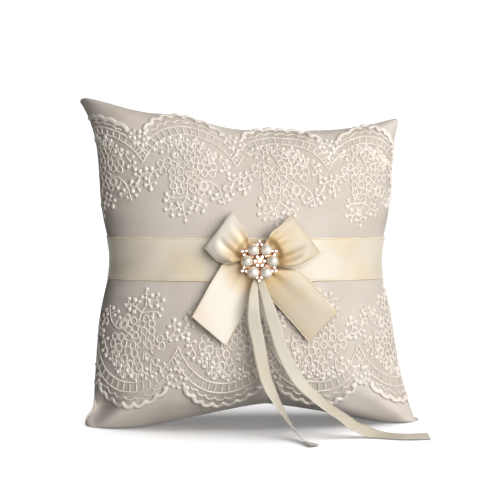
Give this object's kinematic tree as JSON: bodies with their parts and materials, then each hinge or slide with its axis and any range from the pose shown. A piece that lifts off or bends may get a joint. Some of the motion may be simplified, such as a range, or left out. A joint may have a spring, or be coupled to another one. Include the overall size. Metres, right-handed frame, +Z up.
{
  "type": "ring bearer pillow",
  "caption": "Square stuffed cushion with lace edgings, a satin band and bow, a pearl brooch and ribbon ties that hold wedding rings.",
  "frame": {"origin": "middle of the base, at table level, leaving out the two loose ring ties", "axes": "+Z up, front with the bow faces -Y, +X to the viewer's right"},
  "size_m": [0.2098, 0.1217, 0.1958],
  "materials": {
    "fibre_filling": "loose polyester fibre",
    "cover_cloth": "ivory cloth, soft satin",
    "back_cloth": "plain ivory satin",
    "lace": "corded lace on fine net",
    "satin_ribbon": "cream satin with woven edges",
    "tie_ribbon": "narrow cream satin",
    "rose_gold": "polished rose-gold plate",
    "pearl": "lustrous imitation pearl",
    "clear_stone": "faceted clear stone"
  },
  "bodies": {
    "cushion": {"fibre_filling": "fibre_filling", "front_panel": "cover_cloth", "back_panel": "back_cloth", "lace_top": "lace", "lace_bottom": "lace", "satin_band": "satin_ribbon", "bow_loop_left": "satin_ribbon", "bow_loop_right": "satin_ribbon", "bow_tail_left": "satin_ribbon", "bow_tail_right": "satin_ribbon", "bow_knot": "satin_ribbon", "ring_tie_left": "tie_ribbon", "ring_tie_right": "tie_ribbon"},
    "brooch": {"brooch_shank": "rose_gold", "brooch_plate": "rose_gold", "brooch_cup": "rose_gold", "pearl_1": "pearl", "pearl_2": "pearl", "pearl_3": "pearl", "pearl_4": "pearl", "pearl_5": "pearl", "pearl_6": "pearl", "rosette_stone_1": "clear_stone", "rosette_stone_2": "clear_stone", "rosette_stone_3": "clear_stone", "rosette_stone_4": "clear_stone", "rosette_stone_5": "clear_stone", "rosette_stone_6": "clear_stone", "rosette_stone_7": "clear_stone", "outer_stone_1": "clear_stone", "outer_stone_2": "clear_stone", "outer_stone_3": "clear_stone", "outer_stone_4": "clear_stone", "outer_stone_5": "clear_stone", "outer_stone_6": "clear_stone"}
  },
  "joints": [
    {"name": "brooch_turn", "type": "hinge", "parent": "cushion", "child": "brooch", "pos_m": [0, -0.03888, 0.10601], "axis": [0, -0.9976, 0.0698], "range_deg": [-25, 25]}
  ]
}
